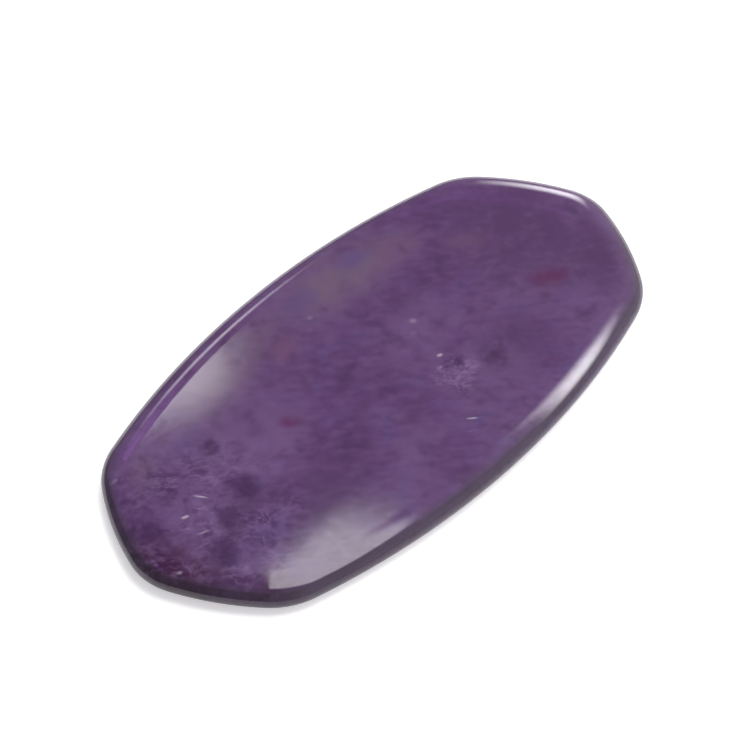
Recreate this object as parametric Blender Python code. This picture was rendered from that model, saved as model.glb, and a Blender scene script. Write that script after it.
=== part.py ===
"""Gua sha scraper: one plate of polished amethyst, cut to a long six-sided outline.

Metres, +Z up. The plate lies on its flat underside at z = 0, with its length along X, its width
along Y and the origin under its middle. The rim is a wide bullnose, flatter than a half circle,
and the upper face is slightly crowned.
"""

import math

import bmesh
import bpy
from mathutils import Vector

# Driving dimensions
LENGTH = 0.105  # from tip to tip
WIDTH = 0.0534  # across the middle of the two long sides
THICKNESS = 0.0054  # at the middle of the plate
CROWN = 0.0004  # how much lower the upper face is at the ends of the length and the width
RIM_RUN = 0.0045  # how far the bullnose reaches in over the upper and the lower face
BLANK_HEIGHT = 0.0094  # of the rounded blank, before it is flattened to its thickness
SHOULDER_X = 0.0415  # where a long side would meet an end edge if the corner weren't rounded
SHOULDER_Y = 0.0202
SHOULDER_RADIUS = 0.0130
END_EDGE_RADIUS = 0.0480  # slight bow of the four end edges
TIP_RADIUS = 0.0108

# How finely the curves are cut
LONG_SIDE_STEPS = 24
END_EDGE_STEPS = 7
CORNER_STEPS = 6
RIM_STEPS = 5
CROWN_RINGS = (0.75, 0.5, 0.25)  # share of the flat outline at which the crown gets a row of points

MERGE_DISTANCE = 0.00001
SHARP_ANGLE = math.radians(35)

# Look
AMETHYST = (0.127, 0.065, 0.171, 1.0)
POLISH_ROUGHNESS = 0.08


def clear_scene():
    for thing in list(bpy.data.objects):
        bpy.data.objects.remove(thing, do_unlink=True)


def circles_meeting(centre_a, radius_a, centre_b, radius_b, near):
    """The point where two circles cross, the one nearer to a given point."""
    across = centre_b - centre_a
    apart = across.length
    along = (radius_a**2 - radius_b**2 + apart**2) / (2 * apart)
    height = math.sqrt(radius_a**2 - along**2)
    foot = centre_a + across * (along / apart)
    sideways = across.orthogonal() * (height / apart)
    return min((foot + sideways, foot - sideways), key=lambda point: (point - near).length)


def direction(centre, point):
    return math.atan2(point.y - centre.y, point.x - centre.x)


def arc(centre, radius, start, end, steps):
    """Points along an arc, without its last one, which begins the next arc."""
    angles = [start + (end - start) * step / steps for step in range(steps)]
    return [centre + radius * Vector((math.cos(angle), math.sin(angle))) for angle in angles]


def quarter_outline():
    """From the middle of a long side round to the tip, through one shoulder."""
    half_width = WIDTH / 2
    shoulder = Vector((SHOULDER_X, SHOULDER_Y))
    drop = half_width - SHOULDER_Y
    side_radius = (SHOULDER_X**2 + drop**2) / (2 * drop)
    side_centre = Vector((0.0, half_width - side_radius))
    tip_centre = Vector((LENGTH / 2 - TIP_RADIUS, 0.0))
    end_centre = circles_meeting(
        shoulder, END_EDGE_RADIUS, tip_centre, END_EDGE_RADIUS - TIP_RADIUS, near=Vector((0.0, 0.0))
    )
    corner_centre = circles_meeting(
        side_centre,
        side_radius - SHOULDER_RADIUS,
        end_centre,
        END_EDGE_RADIUS - SHOULDER_RADIUS,
        near=shoulder,
    )
    side_end = direction(side_centre, corner_centre)
    corner_end = direction(end_centre, corner_centre)
    tip_start = direction(end_centre, tip_centre)
    points = arc(side_centre, side_radius, math.pi / 2, side_end, LONG_SIDE_STEPS // 2)
    points += arc(corner_centre, SHOULDER_RADIUS, side_end, corner_end, CORNER_STEPS)
    points += arc(end_centre, END_EDGE_RADIUS, corner_end, tip_start, END_EDGE_STEPS)
    points += arc(tip_centre, TIP_RADIUS, tip_start, 0.0, CORNER_STEPS // 2)
    return points + [Vector((LENGTH / 2, 0.0))]


def whole_outline():
    """The quarter, mirrored in both axes, as one closed loop."""
    quarter = quarter_outline()
    half = quarter + [Vector((point.x, -point.y)) for point in reversed(quarter[:-1])]
    return half + [Vector((-point.x, point.y)) for point in reversed(half[1:-1])]


def add_rim_rounding(bm):
    """Round every edge where the wall meets the upper or the lower face, to a quarter circle."""
    faces = [face for face in bm.faces if abs(face.normal.z) > 0.5]
    rims = list({edge for face in faces for edge in face.edges})
    bmesh.ops.bevel(
        bm,
        geom=rims,
        offset=RIM_RUN,
        offset_type="OFFSET",
        affect="EDGES",
        segments=RIM_STEPS,
        profile=0.5,
        material=-1,
        clamp_overlap=False,
    )


def add_crown_rings(bm):
    """Rows of points inside the upper face and one at its middle, for the crown to bend."""
    top = max(bm.faces, key=lambda face: face.calc_center_median().z)
    share = 1.0
    for ring in CROWN_RINGS:
        made = bmesh.ops.extrude_discrete_faces(bm, faces=[top])
        top = made["faces"][0]
        bmesh.ops.scale(bm, vec=(ring / share, ring / share, 1.0), verts=list(top.verts))
        share = ring
    bmesh.ops.poke(bm, faces=[top])


def flatten(bm):
    """Squash the blank to its thickness, which turns the round of the rim into a flat ellipse."""
    bmesh.ops.scale(bm, vec=(1.0, 1.0, THICKNESS / BLANK_HEIGHT), verts=list(bm.verts))


def raise_crown(bm):
    """Thin the plate away from its middle. The underside, at z = 0, stays flat."""
    for vert in bm.verts:
        outward = (2 * vert.co.x / LENGTH) ** 2 + (2 * vert.co.y / WIDTH) ** 2
        vert.co.z *= 1 - outward * CROWN / THICKNESS


def plate_mesh():
    bm = bmesh.new()
    face = bm.faces.new([bm.verts.new((point.x, point.y, 0.0)) for point in whole_outline()])
    made = bmesh.ops.extrude_face_region(bm, geom=[face])
    raised = [item for item in made["geom"] if isinstance(item, bmesh.types.BMVert)]
    bmesh.ops.translate(bm, vec=(0.0, 0.0, BLANK_HEIGHT), verts=raised)
    bmesh.ops.recalc_face_normals(bm, faces=bm.faces)
    add_rim_rounding(bm)
    flatten(bm)
    add_crown_rings(bm)
    raise_crown(bm)
    bmesh.ops.remove_doubles(bm, verts=bm.verts, dist=MERGE_DISTANCE)
    bmesh.ops.recalc_face_normals(bm, faces=bm.faces)
    mesh = bpy.data.meshes.new("stone_plate")
    bm.to_mesh(mesh)
    bm.free()
    return mesh


def amethyst():
    material = bpy.data.materials.new("amethyst")
    material.use_nodes = True
    shader = material.node_tree.nodes["Principled BSDF"]
    shader.inputs["Base Color"].default_value = AMETHYST
    shader.inputs["Roughness"].default_value = POLISH_ROUGHNESS
    shader.inputs["Metallic"].default_value = 0.0
    return material


def add_stone_plate():
    mesh = plate_mesh()
    mesh.materials.append(amethyst())
    mesh.shade_smooth()
    mesh.set_sharp_from_angle(angle=SHARP_ANGLE)
    plate = bpy.data.objects.new("stone_plate", mesh)
    bpy.context.collection.objects.link(plate)
    return plate


clear_scene()
add_stone_plate()
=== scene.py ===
import math

import bmesh
import bpy
from mathutils import Matrix, Vector


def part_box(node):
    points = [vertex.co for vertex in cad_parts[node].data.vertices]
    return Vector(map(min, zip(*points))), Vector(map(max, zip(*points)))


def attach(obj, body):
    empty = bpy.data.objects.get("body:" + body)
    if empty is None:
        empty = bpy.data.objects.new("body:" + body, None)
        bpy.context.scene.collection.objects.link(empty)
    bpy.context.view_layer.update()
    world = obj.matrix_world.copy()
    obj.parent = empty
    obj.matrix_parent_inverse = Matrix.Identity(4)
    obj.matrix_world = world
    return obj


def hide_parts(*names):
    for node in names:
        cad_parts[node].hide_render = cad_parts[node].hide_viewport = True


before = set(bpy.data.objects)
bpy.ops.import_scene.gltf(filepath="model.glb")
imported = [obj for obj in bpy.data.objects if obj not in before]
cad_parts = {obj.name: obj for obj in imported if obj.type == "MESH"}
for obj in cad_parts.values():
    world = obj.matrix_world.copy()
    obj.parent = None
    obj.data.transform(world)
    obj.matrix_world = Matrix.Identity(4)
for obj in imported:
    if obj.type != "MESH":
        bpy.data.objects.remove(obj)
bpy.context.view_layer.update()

# The polished amethyst plate of a gua sha scraper, lying on a pale studio table.
# Metres, +Z up: length along X, width along Y, underside on z = 0.

BODY = "root"
NODE = "stone_plate"

# The plate. Its length, width and thickness come from the frame.
LOW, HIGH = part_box(NODE)
LENGTH = HIGH.x - LOW.x
WIDTH = HIGH.y - LOW.y
THICKNESS = HIGH.z - LOW.z
CROWN = 0.0004  # how much lower the upper face is at the ends of the length and the width
RIM_RUN = 0.0045  # how far the bullnose of the rim reaches in over each face
BLANK_HEIGHT = 0.0094  # of the rounded blank, before it is flattened to its thickness
SHOULDER = Vector((0.0415, 0.0202, 0.0))
SHOULDER_RADIUS = 0.0130
END_EDGE_RADIUS = 0.0480
TIP_RADIUS = 0.0108

# How finely the plate is cut
SIDE_STEPS = 40
CORNER_STEPS = 14
END_STEPS = 20
TIP_STEPS = 10
RIM_STEPS = 14
BORDER = 0.00015  # a narrow row of faces where the rim runs into a flat face
FACE_RINGS = 22  # rows of points from the border to the middle of a flat face
WELD = 0.000001


# ---------------------------------------------------------------- shape of the plate

def circles_meeting(centre_a, radius_a, centre_b, radius_b, near):
    """The point where two circles cross, the one nearer to a given point."""
    across = centre_b - centre_a
    apart = across.length
    along = (radius_a**2 - radius_b**2 + apart**2) / (2 * apart)
    height = math.sqrt(radius_a**2 - along**2)
    foot = centre_a + across * (along / apart)
    sideways = across.cross(Vector((0.0, 0.0, 1.0))) * (height / apart)
    return min((foot + sideways, foot - sideways), key=lambda point: (point - near).length)


def direction(centre, point):
    return math.atan2(point.y - centre.y, point.x - centre.x)


def sweep(bm, vert, centre, angle, steps):
    """Carries a point clockwise round a centre and returns the last point of the arc."""
    made = bmesh.ops.spin(
        bm,
        geom=[vert],
        cent=centre,
        axis=(0.0, 0.0, -1.0),
        angle=angle,
        steps=steps,
        use_merge=False,
        use_duplicate=False,
    )
    return next(item for item in made["geom_last"] if isinstance(item, bmesh.types.BMVert))


def draw_quarter(bm):
    """A quarter of the outline, from the middle of a long side round a shoulder to the tip."""
    drop = WIDTH / 2 - SHOULDER.y
    side_radius = (SHOULDER.x**2 + drop**2) / (2 * drop)
    side_centre = Vector((0.0, WIDTH / 2 - side_radius, 0.0))
    tip_centre = Vector((LENGTH / 2 - TIP_RADIUS, 0.0, 0.0))
    end_centre = circles_meeting(
        SHOULDER, END_EDGE_RADIUS, tip_centre, END_EDGE_RADIUS - TIP_RADIUS, near=Vector()
    )
    corner_centre = circles_meeting(
        side_centre,
        side_radius - SHOULDER_RADIUS,
        end_centre,
        END_EDGE_RADIUS - SHOULDER_RADIUS,
        near=SHOULDER,
    )
    side_end = direction(side_centre, corner_centre)
    corner_end = direction(end_centre, corner_centre)
    tip_start = direction(end_centre, tip_centre)
    vert = bm.verts.new((0.0, WIDTH / 2, 0.0))
    vert = sweep(bm, vert, side_centre, math.pi / 2 - side_end, SIDE_STEPS)
    vert = sweep(bm, vert, corner_centre, side_end - corner_end, CORNER_STEPS)
    vert = sweep(bm, vert, end_centre, corner_end - tip_start, END_STEPS)
    sweep(bm, vert, tip_centre, tip_start, TIP_STEPS)


def mirror(bm, axis):
    bmesh.ops.mirror(
        bm,
        geom=list(bm.verts) + list(bm.edges),
        matrix=Matrix.Identity(4),
        merge_dist=WELD,
        axis=axis,
    )


def is_flat(face):
    """The upper and the lower face are the only ones with more than four corners."""
    return len(face.verts) > 4


def round_rims(bm):
    bmesh.ops.bevel(
        bm,
        geom=[edge for edge in bm.edges if any(is_flat(face) for face in edge.link_faces)],
        offset=RIM_RUN,
        offset_type="OFFSET",
        affect="EDGES",
        segments=RIM_STEPS,
        profile=0.5,
        material=-1,
        clamp_overlap=False,
    )


def ring_face(bm, face):
    """A narrow border, then rows of points all the way to the middle of a flat face."""
    bmesh.ops.inset_region(bm, faces=[face], thickness=BORDER, use_even_offset=True)
    for ring in range(FACE_RINGS, 1, -1):
        share = (ring - 1) / ring
        made = bmesh.ops.extrude_discrete_faces(bm, faces=[face])
        face = made["faces"][0]
        bmesh.ops.scale(bm, vec=(share, share, 1.0), verts=list(face.verts))
    bmesh.ops.poke(bm, faces=[face])


def flatten(bm):
    """Squashes the blank to its thickness, which makes the round of its rim a flat ellipse."""
    bmesh.ops.scale(bm, vec=(1.0, 1.0, THICKNESS / BLANK_HEIGHT), verts=list(bm.verts))


def crown(bm):
    """Thins the plate away from its middle. The underside, at z = 0, stays flat."""
    for vert in bm.verts:
        outward = (2 * vert.co.x / LENGTH) ** 2 + (2 * vert.co.y / WIDTH) ** 2
        vert.co.z *= 1 - outward * CROWN / THICKNESS


def make_plate():
    bm = bmesh.new()
    draw_quarter(bm)
    mirror(bm, "Y")
    mirror(bm, "X")
    bmesh.ops.remove_doubles(bm, verts=bm.verts, dist=WELD)
    bmesh.ops.edgeloop_fill(bm, edges=bm.edges)
    made = bmesh.ops.extrude_face_region(bm, geom=list(bm.faces))
    raised = [item for item in made["geom"] if isinstance(item, bmesh.types.BMVert)]
    bmesh.ops.translate(bm, vec=(0.0, 0.0, BLANK_HEIGHT), verts=raised)
    bmesh.ops.recalc_face_normals(bm, faces=bm.faces)
    round_rims(bm)
    flatten(bm)
    for face in [face for face in bm.faces if is_flat(face)]:
        ring_face(bm, face)
    crown(bm)
    bmesh.ops.remove_doubles(bm, verts=bm.verts, dist=WELD)
    bmesh.ops.recalc_face_normals(bm, faces=bm.faces)
    return as_object(bm, "amethyst_plate")


def as_object(bm, name):
    mesh = bpy.data.meshes.new(name)
    bm.to_mesh(mesh)
    bm.free()
    mesh.shade_smooth()
    piece = bpy.data.objects.new(name, mesh)
    bpy.context.scene.collection.objects.link(piece)
    return piece


# ---------------------------------------------------------------- shader maths

# Sockets of the Mix node that blends colours. Its names repeat, so they are counted.
MIX_UNDER = 6
MIX_OVER = 7
MIX_RESULT = 2


class Number:
    """A number that varies over the stone. Arithmetic on it adds Math nodes."""

    def __init__(self, recipe, socket):
        self.recipe = recipe
        self.socket = socket

    def math(self, operation, *values, clamp=False):
        return self.recipe.node(
            "ShaderNodeMath",
            {"operation": operation, "use_clamp": clamp},
            dict(enumerate(values)),
        )

    def __add__(self, other):
        return self.math("ADD", self, other)

    def __radd__(self, other):
        return self.math("ADD", other, self)

    def __sub__(self, other):
        return self.math("SUBTRACT", self, other)

    def __rsub__(self, other):
        return self.math("SUBTRACT", other, self)

    def __mul__(self, other):
        return self.math("MULTIPLY", self, other)

    def __rmul__(self, other):
        return self.math("MULTIPLY", other, self)

    def __abs__(self):
        return self.math("ABSOLUTE", self)

    def clamped(self):
        return self.math("ADD", self, 0.0, clamp=True)


class Recipe:
    """The nodes of a material, a world or a lamp, written as expressions."""

    def __init__(self, owner):
        self.owner = owner
        owner.use_nodes = True
        self.tree = owner.node_tree
        self.tree.nodes.clear()

    def node(self, kind, settings=None, sockets=None, output=0):
        """Adds a node: its settings first, then its sockets' values or links."""
        made = self.tree.nodes.new(kind)
        for name, value in (settings or {}).items():
            setattr(made, name, value)
        for name, value in (sockets or {}).items():
            self.plug(made.inputs[name], value)
        return Number(self, made.outputs[output]) if made.outputs else made

    def plug(self, socket, value):
        if isinstance(value, Number):
            self.tree.links.new(value.socket, socket)
        elif socket.type == "RGBA":
            socket.default_value = (*value, 1.0)
        else:
            socket.default_value = value

    def coordinates(self, kind):
        return self.node("ShaderNodeTexCoord", output=kind)

    def axis(self, vector, letter):
        return self.node("ShaderNodeSeparateXYZ", sockets={"Vector": vector}, output=letter)

    def blend(self, factor, under, over):
        return self.node(
            "ShaderNodeMix",
            {"data_type": "RGBA", "blend_type": "MIX"},
            {"Factor": factor, MIX_UNDER: under, MIX_OVER: over},
            output=MIX_RESULT,
        )

    def between(self, value, start, full):
        """0 at the start and before it, 1 from full on, with a smooth rise between."""
        return self.node(
            "ShaderNodeMapRange",
            {"interpolation_type": "SMOOTHSTEP"},
            {"Value": value, "From Min": start, "From Max": full, "To Min": 0.0, "To Max": 1.0},
        )

    def noise(self, place, size, detail=3.0, roughness=0.5, warp=0.0):
        """Cloud pattern whose lumps are about size metres across."""
        return self.node(
            "ShaderNodeTexNoise",
            {"noise_dimensions": "3D"},
            {
                "Vector": place,
                "Scale": 1.0 / size,
                "Detail": detail,
                "Roughness": roughness,
                "Distortion": warp,
            },
        )

    def placed(self, place, centre=(0.0, 0.0, 0.0), turn=0.0, reach=(1.0, 1.0, 1.0)):
        """Coordinates that start at a centre, turned about Z and counted in units of the reach."""
        return self.node(
            "ShaderNodeMapping",
            {"vector_type": "TEXTURE"},
            {"Vector": place, "Location": centre, "Rotation": (0.0, 0.0, turn), "Scale": reach},
        )

    def spot(self, place, centre, reach, turn=0.0, soft=0.7):
        """1 in the middle of an oval, falling to 0 at its reach along each axis."""
        off = self.placed(place, centre, turn, reach)
        far = self.node("ShaderNodeVectorMath", {"operation": "LENGTH"}, {0: off}, output="Value")
        return 1 - self.between(far, 1.0 - soft, 1.0)

    def finish(self, output_node, **results):
        self.node(output_node, sockets=results)
        return self.owner


# ---------------------------------------------------------------- amethyst

# Colours of the crystal; the last two are painted light: a painted glint on pale cracks and painted
# shade for the rim
VIOLET = (0.186, 0.066, 0.252)
SHADE = (0.134, 0.038, 0.180)
LILAC_HAZE = (0.290, 0.155, 0.375)
GREY_HAZE = (0.275, 0.170, 0.280)
ROSE_HAZE = (0.290, 0.120, 0.250)
BLUE_HAZE = (0.180, 0.100, 0.340)
DEEP_VIOLET = (0.058, 0.000, 0.096)
PLUM = (0.085, 0.004, 0.064)
MAGENTA = (0.180, 0.018, 0.145)
VEIL = (0.400, 0.250, 0.520)
# Painted highlight: the near-white glint of pale cracks where they catch the light
GLINT = (0.950, 0.850, 0.980)
# Painted shade: a dark tone laid on the rim in place of the darkening that light through the thin
# clear edge gives
PAINTED_RIM_SHADE = (0.050, 0.028, 0.056)

# The clear body and its polish
QUARTZ_IOR = 1.54
CLEARNESS = 0.75
BODY_TINT = (0.60, 0.40, 0.75)
BODY_DENSITY = 60.0
POLISH = 0.04  # roughness where the stone is cleanest
HANDLED = 0.05  # how much rougher it is where it has been handled most
WAVE_STRENGTH = 0.02  # the hand polish leaves very slight waves
WAVE_HEIGHT = 0.001

# Size of the lumps in each pattern
CLOUD_SIZE = 0.020
MOTTLE_SIZE = 0.0050
FIBRE_SIZE = 0.0013
POCKET_SIZE = 0.0030
SPECK_SIZE = 0.0012
WISP_SIZE = 0.0040
PATCH_SIZE = 0.0070
TORN_SIZE = 0.0050
RAGGED_SIZE = 0.0036
HANDLED_SIZE = 0.011
WAVE_SIZE = 0.012

GRAIN_TURN = math.radians(-42)  # fibres and healed cracks lie along one direction of the crystal
FIBRE_STRETCH = (2.0, 1.0, 1.0)
CRACK_STRETCH = (1.4, 1.0, 1.0)

# What each pattern of the clouds adds: where it starts and is full, its share and its colour
CLOUD_TONES = (
    ("cloud", 0.46, 0.62, 0.45, LILAC_HAZE),
    ("cloud", 0.46, 0.34, 0.30, DEEP_VIOLET),
    ("mottle", 0.50, 0.66, 0.55, BLUE_HAZE),
    ("mottle", 0.48, 0.34, 0.40, DEEP_VIOLET),
    ("fibre", 0.50, 0.66, 0.32, LILAC_HAZE),
    ("fibre", 0.50, 0.34, 0.28, DEEP_VIOLET),
)

# Zones of colour on the plate: colour, share, centre, reach and turn, in metres and degrees
DEPTH = 0.05  # the zones run right through the stone
ZONE_SOFTNESS = 0.95
ZONE_FLOOR = 0.2  # what is left of a zone in the gaps of its torn edge
HAZE_ZONES = (
    (SHADE, 0.90, (0.038, 0.004), (0.018, 0.020), 0),
    (SHADE, 0.40, (-0.0205, -0.0090), (0.010, 0.007), 0),
    (SHADE, 0.80, (0.020, -0.0110), (0.010, 0.007), 0),
    (LILAC_HAZE, 0.70, (0.0105, 0.0010), (0.012, 0.009), 0),
    (LILAC_HAZE, 0.55, (-0.0067, -0.0150), (0.009, 0.005), 0),
    (LILAC_HAZE, 0.90, (-0.0290, 0.0060), (0.009, 0.007), 20),
    (LILAC_HAZE, 0.75, (-0.023, 0.002), (0.011, 0.009), 30),
    (LILAC_HAZE, 0.75, (-0.040, -0.001), (0.013, 0.009), 0),
    (LILAC_HAZE, 0.45, (0.009, -0.010), (0.008, 0.007), 0),
    (GREY_HAZE, 0.80, (-0.015, 0.018), (0.019, 0.006), 8),
    (GREY_HAZE, 1.00, (0.011, 0.018), (0.018, 0.008), -5),
    (ROSE_HAZE, 0.70, (-0.006, 0.014), (0.005, 0.003), 20),
    (ROSE_HAZE, 0.60, (0.022, 0.015), (0.007, 0.004), 0),
    (ROSE_HAZE, 0.50, (0.030, 0.008), (0.006, 0.003), -35),
    (BLUE_HAZE, 0.80, (0.003, 0.019), (0.005, 0.003), 0),
    (BLUE_HAZE, 0.80, (0.015, 0.019), (0.005, 0.003), -10),
    (BLUE_HAZE, 0.60, (-0.036, -0.009), (0.006, 0.005), 0),
    (SHADE, 0.90, (0.043, -0.011), (0.010, 0.012), 30),
    (GREY_HAZE, 0.50, (-0.039, 0.013), (0.006, 0.004), 40),
    (MAGENTA, 0.90, (0.033, -0.007), (0.006, 0.003), -35),
    (MAGENTA, 0.90, (-0.017, 0.003), (0.003, 0.002), -42),
    (PLUM, 1.00, (-0.050, -0.003), (0.008, 0.015), 10),
    (PLUM, 0.85, (-0.043, -0.016), (0.009, 0.005), -35),
)

# Healed cracks: share, centre and reach of each zone
CRACK_ZONES = (
    (1.0, (-0.0425, 0.0000), (0.0225, 0.0250)),
    (1.7, (0.0078, -0.0098), (0.0056, 0.0048)),
)
CRACK_SOFTNESS = 0.6
MILKY_FLOOR = 0.25
WISP_SHARE = 0.60

# What each pattern adds near the cracks: where it starts and is full, where it lies, its share
# and its colour
CRACK_TONES = (
    ("pocket", 0.50, 0.62, "near", 0.55, DEEP_VIOLET),
    ("pocket", 0.50, 0.38, "milky", 0.60, LILAC_HAZE),
    ("speck", 0.51, 0.64, "milky", 0.45, VEIL),
    ("speck", 0.49, 0.36, "near", 0.35, DEEP_VIOLET),
)

# Dark pockets: centre and reach
DEEP_SPOTS = (
    ((-0.0367, -0.0033), 0.0040),
    ((-0.0310, -0.0010), 0.0036),
    ((-0.0470, 0.0045), 0.0038),
    ((-0.0430, -0.0065), 0.0042),
    ((-0.0290, 0.0087), 0.0024),
    ((0.0140, -0.0110), 0.0028),
)
DEEP_SHARE = 0.76
DEEP_FLOOR = 0.35
DEEP_GAIN = 1.4  # how firmly a pocket fills its middle

# Pale cracks with a painted highlight, the glint where they catch the light: share, centre, reach and
# turn away from the grain
GLINTS = (
    (0.85, (-0.0414, 0.0021), (0.0009, 0.00040), 20),
    (0.85, (-0.0370, 0.0031), (0.0015, 0.00024), -18),
    (0.50, (-0.0417, -0.0020), (0.0013, 0.00022), 22),
    (0.60, (-0.0495, -0.0043), (0.0007, 0.00035), 0),
    (0.85, (0.0086, -0.0052), (0.0007, 0.00042), 22),
    (0.85, (0.0021, -0.0174), (0.0012, 0.00022), 0),
    (0.28, (0.0113, 0.0027), (0.0008, 0.00070), 0),
    (0.18, (0.0011, 0.0153), (0.0007, 0.00060), 0),
    (0.30, (-0.0432, 0.0154), (0.0010, 0.00060), 30),
)

# Heights between which the rim is painted darker: painted shade in place of the dark edge that long
# paths of light through the clear stone give
RIM_TOP = 0.0049
RIM_MIDDLE = 0.0041
RIM_SHARE = 0.55


def on_plate(centre):
    return (*centre, THICKNESS)


def growth_clouds(recipe, place):
    """Even violet with soft clouds, and finer mottling and fibres over them."""
    grain = recipe.placed(place, turn=GRAIN_TURN, reach=FIBRE_STRETCH)
    patterns = {
        "cloud": recipe.noise(place, CLOUD_SIZE, warp=0.5),
        "mottle": recipe.noise(place, MOTTLE_SIZE, detail=4.0, roughness=0.6, warp=0.4),
        "fibre": recipe.noise(grain, FIBRE_SIZE, roughness=0.6),
    }
    colour = VIOLET
    for pattern, start, full, share, tone in CLOUD_TONES:
        strength = recipe.between(patterns[pattern], start, full) * share
        colour = recipe.blend(strength, colour, tone)
    return colour


def colour_zones(recipe, place, colour):
    """Wide tinted zones whose edges are torn."""
    tear = recipe.noise(place, TORN_SIZE, detail=5.0, roughness=0.65)
    torn = recipe.between(tear, 0.34, 0.58) + ZONE_FLOOR
    for tone, share, centre, reach, turn in HAZE_ZONES:
        zone = recipe.spot(
            place, on_plate(centre), (*reach, DEPTH), math.radians(turn), ZONE_SOFTNESS
        )
        colour = recipe.blend((zone * torn).clamped() * share, colour, tone)
    return colour


def healed_cracks(recipe, place, colour):
    """Cloudy veils, thin light wisps and darker pockets, where the crystal once cracked."""
    near = 0.0
    for share, centre, reach in CRACK_ZONES:
        zone = recipe.spot(place, on_plate(centre), (*reach, DEPTH), soft=CRACK_SOFTNESS)
        near = zone * share + near
    grain = recipe.placed(place, turn=GRAIN_TURN, reach=CRACK_STRETCH)
    patchy = recipe.noise(place, PATCH_SIZE, roughness=0.6)
    places = {"near": near, "milky": near * (recipe.between(patchy, 0.44, 0.60) + MILKY_FLOOR)}
    patterns = {
        "pocket": recipe.noise(place, POCKET_SIZE, detail=5.0, roughness=0.7, warp=0.6),
        "speck": recipe.noise(grain, SPECK_SIZE, detail=4.0, roughness=0.7),
    }
    for pattern, start, full, where, share, tone in CRACK_TONES:
        strength = recipe.between(patterns[pattern], start, full) * places[where] * share
        colour = recipe.blend(strength, colour, tone)
    wisp = recipe.noise(grain, WISP_SIZE, detail=4.0, roughness=0.6, warp=1.4)
    ridge = 1 - abs(wisp - 0.5) * 2
    light = recipe.between(ridge, 0.94, 1.0) * recipe.between(patchy, 0.44, 0.58)
    return recipe.blend((light * near).clamped() * WISP_SHARE, colour, VEIL)


def deep_spots(recipe, place, colour):
    """Dark pockets of strong violet with ragged edges."""
    rag = recipe.noise(place, RAGGED_SIZE, detail=5.0, roughness=0.7)
    ragged = recipe.between(rag, 0.36, 0.56) + DEEP_FLOOR
    for centre, reach in DEEP_SPOTS:
        zone = recipe.spot(place, on_plate(centre), (reach, reach, DEPTH), soft=ZONE_SOFTNESS)
        strength = (zone * ragged * DEEP_GAIN).clamped() * DEEP_SHARE
        colour = recipe.blend(strength, colour, DEEP_VIOLET)
    return colour


def glints(recipe, place, colour):
    # Paints a near-white glint on each pale crack: a painted highlight
    for share, centre, reach, turn in GLINTS:
        along = GRAIN_TURN + math.radians(turn)
        fleck = recipe.spot(place, on_plate(centre), (*reach, DEPTH), along)
        colour = recipe.blend(fleck * share, colour, GLINT)
    return colour


def painted_rim_shade(recipe, place, colour):
    """Painted shade: darkens the colour of the rim, as the thin edge of a clear stone looks darker
    than its faces.
    """
    # Painted shade, darker towards the bottom of the rim
    low = recipe.between(recipe.axis(place, "Z"), RIM_TOP, RIM_MIDDLE)
    return recipe.blend(low * RIM_SHARE, colour, PAINTED_RIM_SHADE)


def amethyst():
    recipe = Recipe(bpy.data.materials.new("polished_amethyst"))
    place = recipe.coordinates("Object")
    colour = growth_clouds(recipe, place)
    for layer in (colour_zones, healed_cracks, deep_spots, glints, painted_rim_shade):
        colour = layer(recipe, place, colour)
    handled = recipe.noise(place, HANDLED_SIZE)
    wave = recipe.noise(place, WAVE_SIZE, detail=1.0)
    polish = recipe.node(
        "ShaderNodeBump",
        sockets={"Height": wave, "Strength": WAVE_STRENGTH, "Distance": WAVE_HEIGHT},
    )
    shader = recipe.node(
        "ShaderNodeBsdfPrincipled",
        sockets={
            "Base Color": colour,
            "Roughness": handled * HANDLED + POLISH,
            "IOR": QUARTZ_IOR,
            "Transmission Weight": CLEARNESS,
            "Normal": polish,
        },
    )
    body = recipe.node(
        "ShaderNodeVolumeAbsorption", sockets={"Color": BODY_TINT, "Density": BODY_DENSITY}
    )
    return recipe.finish("ShaderNodeOutputMaterial", Surface=shader, Volume=body)


# ---------------------------------------------------------------- studio

TABLE_WHITE = (0.9, 0.9, 0.9)
TABLE_ROUGHNESS = 0.9
TABLE_REACH = 6.0  # from the middle of the table to each of its sides
TABLE_GAP = 0.0001
TABLE_GLOW = 0.45  # the table is lit from below as well, which keeps shadows faint

# Brightness of the walls on the camera's left and on its right, and the sines of the directions
# between which it rises
DIM_SIDE = 0.45
BRIGHT_SIDE = 1.70
RISE_START = -0.75
RISE_END = 1.05

CAMERA_TURN = math.radians(48.5)  # how far the plate's length is turned from the camera's right
CAMERA_HEIGHT = math.radians(48.2)
CAMERA_DISTANCE = 0.591
CLIP_START = 0.01
LENS = 181.3  # focal length and sensor width, in millimetres
SENSOR_WIDTH = 36.0
AIM_ABOVE = 0.0027
AIM_LEFT = 0.0005

AHEAD = Vector((math.sin(CAMERA_TURN), math.cos(CAMERA_TURN), 0.0))  # away from the camera
RIGHT = Vector((math.cos(CAMERA_TURN), -math.sin(CAMERA_TURN), 0.0))
UP = Vector((0.0, 0.0, 1.0))

# The softbox overhead. Its places are counted in heights of the ceiling, ahead of the plate and
# to the right of it, as the camera sees it.
CEILING = 1.2
CEILING_NEAR = -0.27
CEILING_FAR = 0.762
CEILING_LEFT = -0.042
CEILING_RIGHT = 0.70
CEILING_BRIGHTNESS = 5.2

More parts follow.
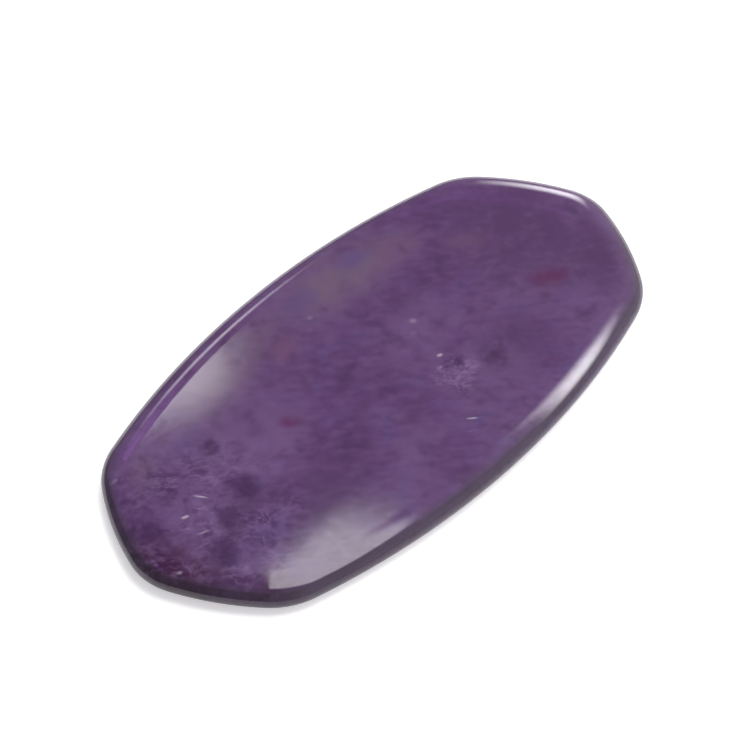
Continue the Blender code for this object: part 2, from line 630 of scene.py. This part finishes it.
# The straight edges that cut its face: weights of right and ahead, and the sums at which the
# face is dark and is fully lit
LEFT_EDGE = (1.0, 0.0, CEILING_LEFT, CEILING_LEFT + 0.008)
RIGHT_EDGE = (1.0, 0.0, CEILING_RIGHT, CEILING_RIGHT - 0.12)
NEAR_EDGE = (0.0, 1.0, CEILING_NEAR, CEILING_NEAR + 0.10)
FAR_EDGE = (0.0, 1.0, CEILING_FAR, CEILING_FAR - 0.03)
CORNER_EDGE = (-1.25, 1.0, 0.768, 0.738)
SLANT_EDGE = (1.0, 1.0, 0.645, 0.565)
ARM_EDGE = (1.0, 0.5, 0.425, 0.365)

# Softboxes on stands: turn and height of their direction, width and height as the plate sees
# them, brightness and roll. The angles are in degrees.
LAMP_DISTANCE = 1.2
EDGE_FADE = 0.45
STAND_BOXES = {
    "back_window": (10.0, 21.0, 17.0, 28.0, 9.0, 0.0),
    "back_left": (-19.0, 29.0, 14.0, 11.0, 5.0, 0.0),
    "left_card": (-9.5, 46.6, 5.0, 4.6, 6.5, 0.0),
    "right_card": (63.0, 46.0, 47.0, 13.0, 13.0, 36.0),
}


def sky(turn, height):
    """A direction: degrees right of straight behind the plate, as the camera sees it, and above it."""
    turn = math.radians(turn)
    height = math.radians(height)
    level = AHEAD * math.cos(turn) + RIGHT * math.sin(turn)
    return level * math.cos(height) + UP * math.sin(height)


def aim(thing, place, target):
    thing.location = place
    thing.rotation_euler = (target - place).to_track_quat("-Z", "Y").to_euler()


def add_camera():
    data = bpy.data.cameras.new("camera")
    data.lens = LENS
    data.sensor_width = SENSOR_WIDTH
    data.clip_start = CLIP_START
    camera = bpy.data.objects.new("camera", data)
    bpy.context.scene.collection.objects.link(camera)
    bpy.context.scene.camera = camera
    back = UP * math.sin(CAMERA_HEIGHT) - AHEAD * math.cos(CAMERA_HEIGHT)
    target = back.cross(RIGHT) * AIM_ABOVE - RIGHT * AIM_LEFT
    aim(camera, target + back * CAMERA_DISTANCE, target)


def add_softbox(name, width, tall, brightness, outline):
    """A lamp whose face is masked. The outline takes how far a point is across and up the face."""
    data = bpy.data.lights.new(name, "AREA")
    data.shape = "RECTANGLE"
    data.size = width
    data.size_y = tall
    data.energy = brightness * width * tall * math.pi
    recipe = Recipe(data)
    face = recipe.node("ShaderNodeNewGeometry", output="Parametric")
    level = outline(recipe, recipe.axis(face, "X"), recipe.axis(face, "Y"))
    glow = recipe.node("ShaderNodeEmission", sockets={"Strength": level})
    recipe.finish("ShaderNodeOutputLight", Surface=glow)
    lamp = bpy.data.objects.new(name, data)
    bpy.context.scene.collection.objects.link(lamp)
    return lamp


def soft_edges(recipe, across, up):
    level = 1.0
    for along in (across, up):
        level = recipe.between(abs(along - 0.5), 0.5, 0.5 - EDGE_FADE) * level
    return level


def ceiling_outline(recipe, across, up):
    """A wide face cut on the slant, with a long narrow arm on its left."""
    right = across * (CEILING_RIGHT - CEILING_LEFT) + CEILING_LEFT
    ahead = up * (CEILING_FAR - CEILING_NEAR) + CEILING_NEAR

    def lit(edge):
        right_weight, ahead_weight, dark, full = edge
        return recipe.between(right * right_weight + ahead * ahead_weight, dark, full)

    wide = lit(SLANT_EDGE) * lit(RIGHT_EDGE)
    arm = lit(ARM_EDGE) * lit(FAR_EDGE)
    return lit(LEFT_EDGE) * lit(NEAR_EDGE) * lit(CORNER_EDGE) * (wide + arm).clamped()


def add_ceiling_box():
    lamp = add_softbox(
        "overhead",
        (CEILING_RIGHT - CEILING_LEFT) * CEILING,
        (CEILING_FAR - CEILING_NEAR) * CEILING,
        CEILING_BRIGHTNESS,
        ceiling_outline,
    )
    right = (CEILING_LEFT + CEILING_RIGHT) / 2
    ahead = (CEILING_NEAR + CEILING_FAR) / 2
    lamp.location = (RIGHT * right + AHEAD * ahead + UP) * CEILING
    lamp.rotation_euler = (0.0, 0.0, -CAMERA_TURN)


def add_stand_box(name, turn, height, wide, tall, brightness, roll):
    size = [2 * LAMP_DISTANCE * math.tan(math.radians(side) / 2) for side in (wide, tall)]
    lamp = add_softbox(name, *size, brightness, soft_edges)
    aim(lamp, sky(turn, height) * LAMP_DISTANCE, Vector())
    lamp.rotation_euler.rotate_axis("Z", math.radians(roll))


def add_table():
    recipe = Recipe(bpy.data.materials.new("table"))
    shader = recipe.node(
        "ShaderNodeBsdfPrincipled",
        sockets={
            "Base Color": TABLE_WHITE,
            "Roughness": TABLE_ROUGHNESS,
            "Emission Color": TABLE_WHITE,
            "Emission Strength": TABLE_GLOW,
        },
    )
    bm = bmesh.new()
    bmesh.ops.create_grid(bm, x_segments=1, y_segments=1, size=TABLE_REACH)
    bmesh.ops.translate(bm, vec=(0.0, 0.0, -TABLE_GAP), verts=bm.verts)
    table = as_object(bm, "table")
    table.data.materials.append(recipe.finish("ShaderNodeOutputMaterial", Surface=shader))


def set_world():
    """Pale walls, dimmer on the camera's left."""
    recipe = Recipe(bpy.data.worlds.new("studio"))
    side = recipe.node(
        "ShaderNodeVectorMath",
        {"operation": "DOT_PRODUCT"},
        {0: recipe.coordinates("Generated"), 1: RIGHT},
        output="Value",
    )
    rise = recipe.between(side, RISE_START, RISE_END)
    level = rise * rise * (BRIGHT_SIDE - DIM_SIDE) + DIM_SIDE
    walls = recipe.node("ShaderNodeBackground", sockets={"Strength": level})
    bpy.context.scene.world = recipe.finish("ShaderNodeOutputWorld", Surface=walls)
    bpy.context.scene.view_settings.view_transform = "Standard"


def main():
    plate = make_plate()
    plate.data.materials.append(amethyst())
    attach(plate, BODY)
    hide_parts(NODE)
    add_table()
    set_world()
    add_camera()
    add_ceiling_box()
    for name, values in STAND_BOXES.items():
        add_stand_box(name, *values)


main()
